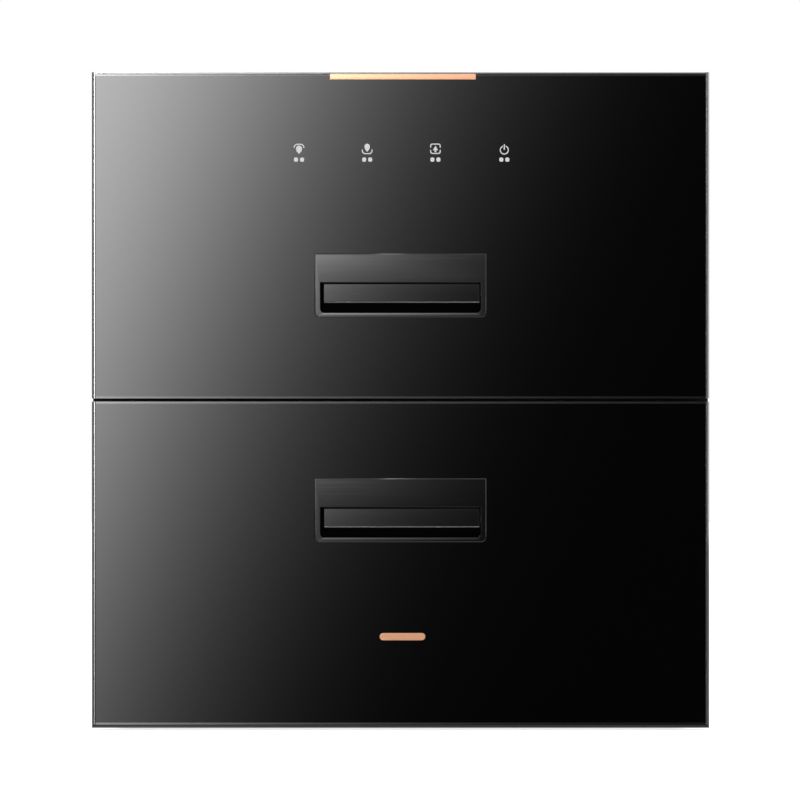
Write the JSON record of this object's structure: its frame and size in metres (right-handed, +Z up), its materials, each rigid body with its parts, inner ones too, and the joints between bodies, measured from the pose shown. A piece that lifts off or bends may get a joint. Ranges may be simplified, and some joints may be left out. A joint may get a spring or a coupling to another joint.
{
  "type": "dish sterilizer cabinet",
  "caption": "Built-in dish sterilizer cabinet with black glass drawer fronts, recessed pull flaps, a copper trim strip, a warm-air upper drawer and an infrared lower drawer.",
  "frame": {"origin": "on the floor under the middle of the cabinet's bounding box", "axes": "+Z up, -Y out of the drawer fronts, +X to the right as seen from the front"},
  "size_m": [0.596, 0.4602, 0.635],
  "materials": {
    "galvanised_steel": "satin",
    "stainless": "satin",
    "polished_steel": "polished",
    "black_enamel": "satin",
    "dark_enamel": "satin",
    "grey_enamel": "satin",
    "black_glass": "polished",
    "aluminium_trim": "satin",
    "copper_finish": "satin",
    "dark_brushed": "satin",
    "black_rubber": "matte",
    "grey_silicone": "matte",
    "black_plastic": "matte",
    "ivory_plastic": "matte",
    "white_ceramic": "matte",
    "frosted_quartz": "satin",
    "lamp_glass": "polished",
    "circuit_board": "satin",
    "glass_wool": "matte",
    "ball_steel": "polished"
  },
  "bodies": {
    "cabinet": {"outer_wrap": "galvanised_steel", "base_pan": "galvanised_steel", "back_panel": "galvanised_steel", "case_screws": "polished_steel", "front_frame": "black_enamel", "base_trim": "dark_enamel", "feet": "black_rubber", "upper_liner": "stainless", "lower_liner": "stainless", "insulation_boards": "glass_wool", "quartz_heaters": "frosted_quartz", "heater_holders": "white_ceramic", "heater_reflector": "polished_steel", "heater_guard": "polished_steel", "uv_lamp": "lamp_glass", "uv_lamp_holders": "ivory_plastic", "uv_lamp_guard": "polished_steel", "ptc_heater": "aluminium_trim", "fan_housing": "black_plastic", "board_box": "ivory_plastic", "power_board": "circuit_board", "temperature_sensors": "polished_steel", "door_switches": "ivory_plastic", "cord_gland": "black_plastic", "upper_runner_outers": "galvanised_steel", "lower_runner_outers": "galvanised_steel"},
    "fan": {"fan_rotor": "black_plastic"},
    "upper_drawer": {"upper_glass": "black_glass", "upper_door_pan": "grey_enamel", "upper_seal": "grey_silicone", "upper_handle_bezel": "dark_brushed", "upper_flap_springs": "ball_steel", "upper_carrier": "stainless", "upper_drip_tray": "stainless", "upper_runner_inners": "galvanised_steel", "upper_trim_frame": "aluminium_trim", "copper_strip": "copper_finish", "touch_board": "circuit_board", "upper_basket": "polished_steel"},
    "upper_pull_flap": {"upper_flap": "dark_brushed"},
    "upper_runner_middle_pair": {"upper_runner_middles": "galvanised_steel"},
    "upper_outer_cages": {"upper_outer_ball_cages": "ball_steel"},
    "upper_inner_cages": {"upper_inner_ball_cages": "ball_steel"},
    "lower_drawer": {"lower_glass": "black_glass", "lower_door_pan": "grey_enamel", "lower_seal": "grey_silicone", "lower_handle_bezel": "dark_brushed", "lower_flap_springs": "ball_steel", "lower_carrier": "stainless", "lower_drip_tray": "stainless", "lower_runner_inners": "galvanised_steel", "lower_side_trims": "aluminium_trim", "badge_bar": "copper_finish", "plate_rack": "polished_steel", "cutlery_holder": "stainless"},
    "lower_pull_flap": {"lower_flap": "dark_brushed"},
    "lower_runner_middle_pair": {"lower_runner_middles": "galvanised_steel"},
    "lower_outer_cages": {"lower_outer_ball_cages": "ball_steel"},
    "lower_inner_cages": {"lower_inner_ball_cages": "ball_steel"}
  },
  "joints": [
    {"name": "upper_drawer_slide", "type": "slide", "parent": "cabinet", "child": "upper_drawer", "axis": [0, -1, 0], "range_m": [0, 0.32]},
    {"name": "upper_runner_slide", "type": "slide", "parent": "cabinet", "child": "upper_runner_middle_pair", "axis": [0, -1, 0], "range_m": [0, 0.16]},
    {"name": "upper_outer_cage_slide", "type": "slide", "parent": "cabinet", "child": "upper_outer_cages", "axis": [0, -1, 0], "range_m": [0, 0.08]},
    {"name": "upper_inner_cage_slide", "type": "slide", "parent": "cabinet", "child": "upper_inner_cages", "axis": [0, -1, 0], "range_m": [0, 0.24]},
    {"name": "upper_flap_hinge", "type": "hinge", "parent": "upper_drawer", "child": "upper_pull_flap", "pos_m": [0, -0.22465, 0.4356], "axis": [-1, 0, 0], "range_deg": [0, 15], "stiffness_Nm_per_rad": 0.3, "springref_deg": -17.19},
    {"name": "lower_drawer_slide", "type": "slide", "parent": "cabinet", "child": "lower_drawer", "axis": [0, -1, 0], "range_m": [0, 0.32]},
    {"name": "lower_runner_slide", "type": "slide", "parent": "cabinet", "child": "lower_runner_middle_pair", "axis": [0, -1, 0], "range_m": [0, 0.16]},
    {"name": "lower_outer_cage_slide", "type": "slide", "parent": "cabinet", "child": "lower_outer_cages", "axis": [0, -1, 0], "range_m": [0, 0.08]},
    {"name": "lower_inner_cage_slide", "type": "slide", "parent": "cabinet", "child": "lower_inner_cages", "axis": [0, -1, 0], "range_m": [0, 0.24]},
    {"name": "lower_flap_hinge", "type": "hinge", "parent": "lower_drawer", "child": "lower_pull_flap", "pos_m": [0, -0.22465, 0.2186], "axis": [-1, 0, 0], "range_deg": [0, 15], "stiffness_Nm_per_rad": 0.3, "springref_deg": -17.19},
    {"name": "fan_spin", "type": "hinge", "parent": "cabinet", "child": "fan", "pos_m": [0, 0.20015, 0.461], "axis": [0, 1, 0], "continuous": true}
  ],
  "couplings": [
    {"joint": "upper_runner_slide", "follows": "upper_drawer_slide", "ratio": 0.5},
    {"joint": "upper_outer_cage_slide", "follows": "upper_drawer_slide", "ratio": 0.25},
    {"joint": "upper_inner_cage_slide", "follows": "upper_drawer_slide", "ratio": 0.75},
    {"joint": "lower_runner_slide", "follows": "lower_drawer_slide", "ratio": 0.5},
    {"joint": "lower_outer_cage_slide", "follows": "lower_drawer_slide", "ratio": 0.25},
    {"joint": "lower_inner_cage_slide", "follows": "lower_drawer_slide", "ratio": 0.75}
  ]
}
